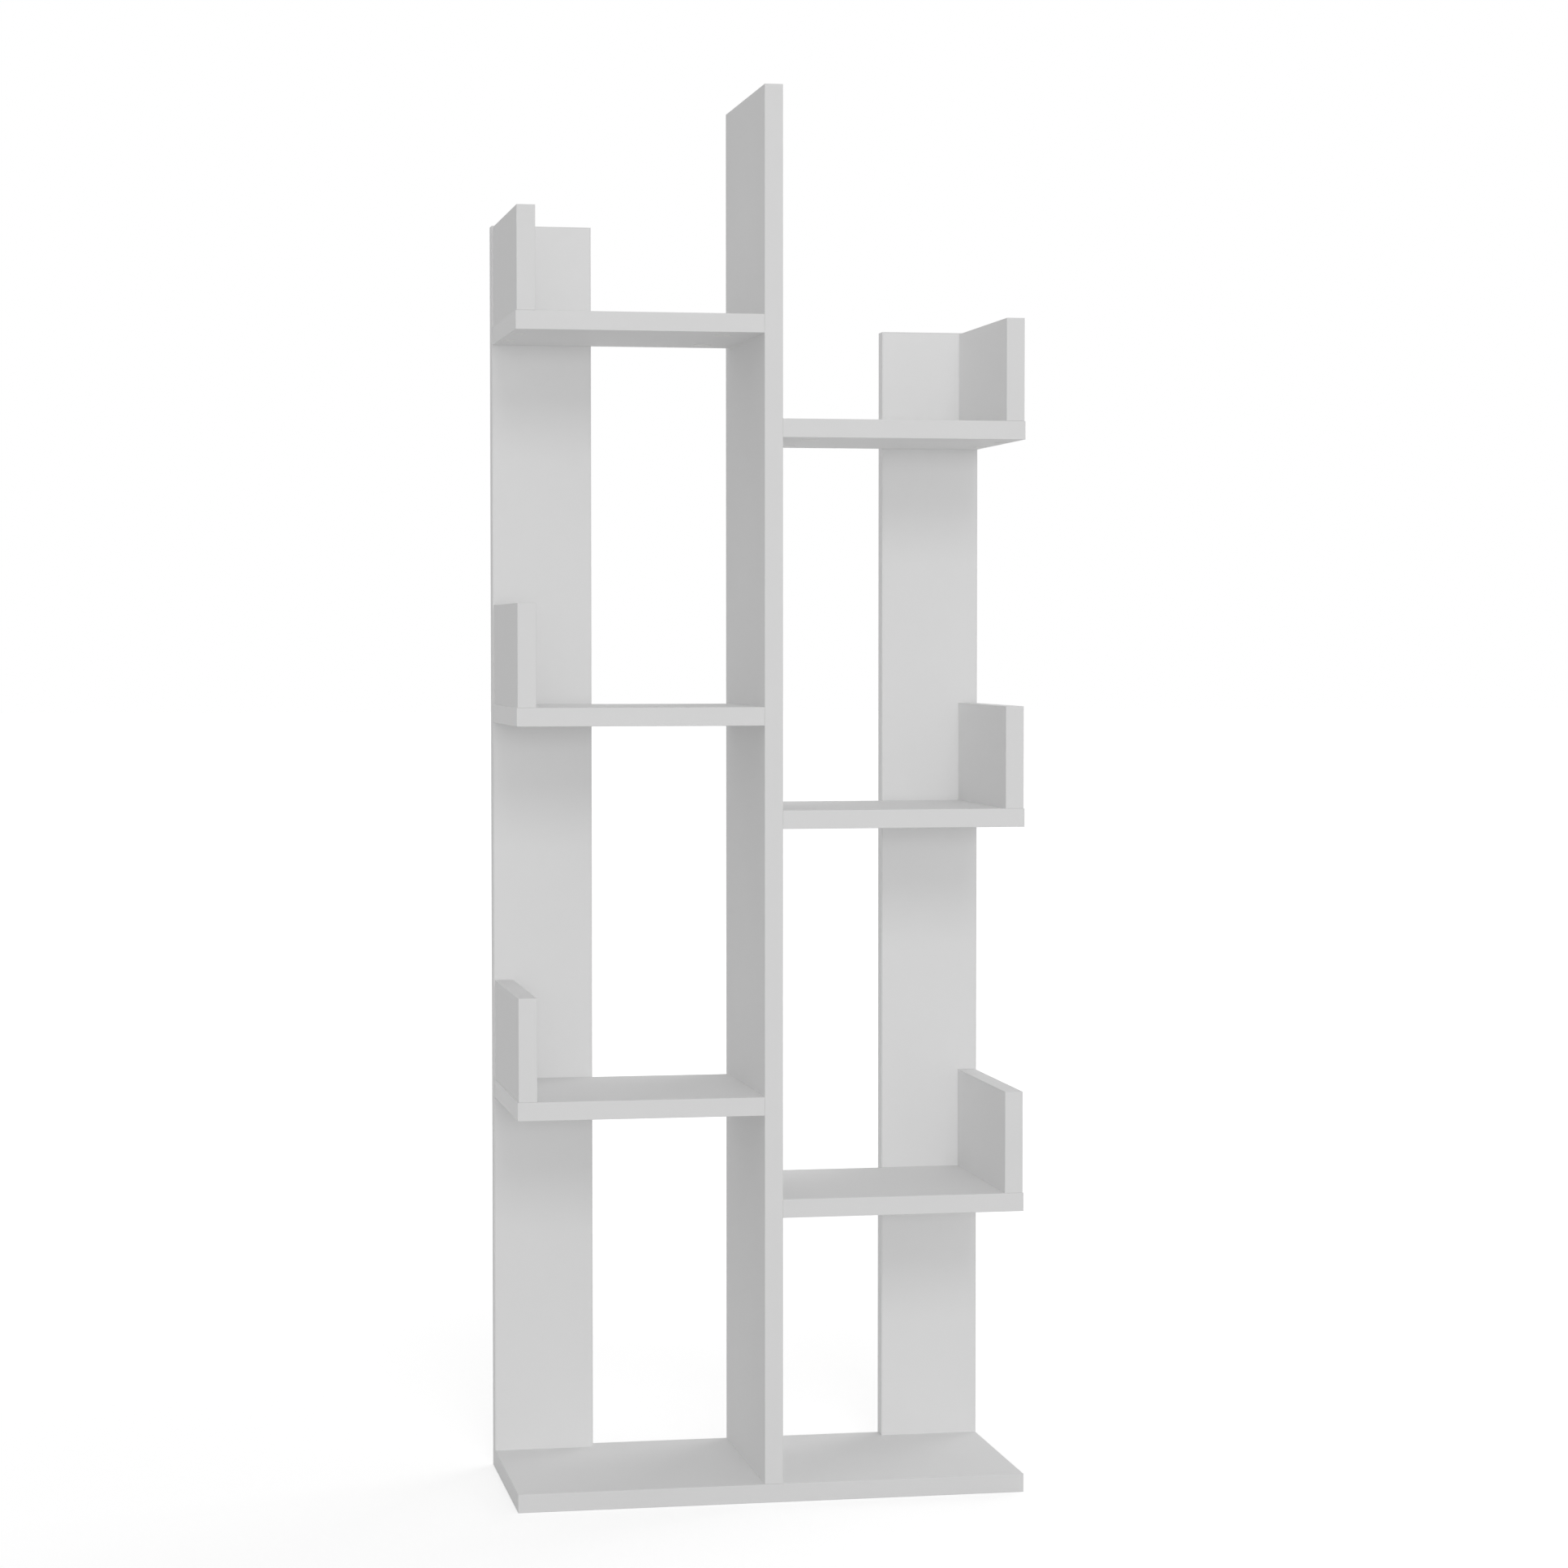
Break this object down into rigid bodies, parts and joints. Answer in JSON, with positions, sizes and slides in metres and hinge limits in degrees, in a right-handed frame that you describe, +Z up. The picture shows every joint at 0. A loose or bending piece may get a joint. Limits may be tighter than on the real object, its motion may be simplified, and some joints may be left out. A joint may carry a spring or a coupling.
{
  "type": "tree shaped bookshelf",
  "caption": "Tree shaped bookshelf: a centre upright on a base panel with staggered shelves on both sides, each with a short bookend, tied to the base by narrow back panels.",
  "frame": {"origin": "middle of the underside of the base panel, on the floor", "axes": "+Z up the upright, +Y to the back, towards the wall, +X to the right as seen from the front"},
  "size_m": [0.5, 0.22, 1.372],
  "materials": {
    "white_melamine_board": "white melamine on chipboard, satin, very finely pebbled",
    "white_edge_band": "white plastic edge band, satin, with rounded corners",
    "white_cap": "white moulded plastic, satin",
    "zinc_plated_screw": "bright zinc plating on turned steel",
    "steel_bolt": "zinc plated turned steel",
    "cast_zinc": "die-cast zinc, grey and slightly grainy",
    "beech_dowel": "bare fluted beech",
    "galvanised_angle": "zinc plated pressed steel, satin"
  },
  "bodies": {
    "root": {"base_dowels": "beech_dowel", "base_panel": "white_melamine_board", "base_panel_edge_bands": "white_edge_band", "base_screws": "zinc_plated_screw", "bookend_back_screws": "zinc_plated_screw", "bookend_screw_caps": "white_cap", "bookend_screws": "zinc_plated_screw", "cam_bolts": "steel_bolt", "cam_caps": "white_cap", "cam_locks": "cast_zinc", "centre_upright": "white_melamine_board", "centre_upright_edge_bands": "white_edge_band", "left_back_panel": "white_melamine_board", "left_back_panel_edge_bands": "white_edge_band", "left_bottom_bookend": "white_melamine_board", "left_bottom_bookend_edge_bands": "white_edge_band", "left_bottom_shelf": "white_melamine_board", "left_bottom_shelf_edge_bands": "white_edge_band", "left_middle_bookend": "white_melamine_board", "left_middle_bookend_edge_bands": "white_edge_band", "left_middle_shelf": "white_melamine_board", "left_middle_shelf_edge_bands": "white_edge_band", "left_top_bookend": "white_melamine_board", "left_top_bookend_edge_bands": "white_edge_band", "left_top_shelf": "white_melamine_board", "left_top_shelf_edge_bands": "white_edge_band", "right_back_panel": "white_melamine_board", "right_back_panel_edge_bands": "white_edge_band", "right_bottom_bookend": "white_melamine_board", "right_bottom_bookend_edge_bands": "white_edge_band", "right_bottom_shelf": "white_melamine_board", "right_bottom_shelf_edge_bands": "white_edge_band", "right_middle_bookend": "white_melamine_board", "right_middle_bookend_edge_bands": "white_edge_band", "right_middle_shelf": "white_melamine_board", "right_middle_shelf_edge_bands": "white_edge_band", "right_top_bookend": "white_melamine_board", "right_top_bookend_edge_bands": "white_edge_band", "right_top_shelf": "white_melamine_board", "right_top_shelf_edge_bands": "white_edge_band", "shelf_dowels": "beech_dowel", "shelf_screws": "zinc_plated_screw", "wall_angle": "galvanised_angle", "wall_angle_screws": "zinc_plated_screw"}
  },
  "joints": []
}
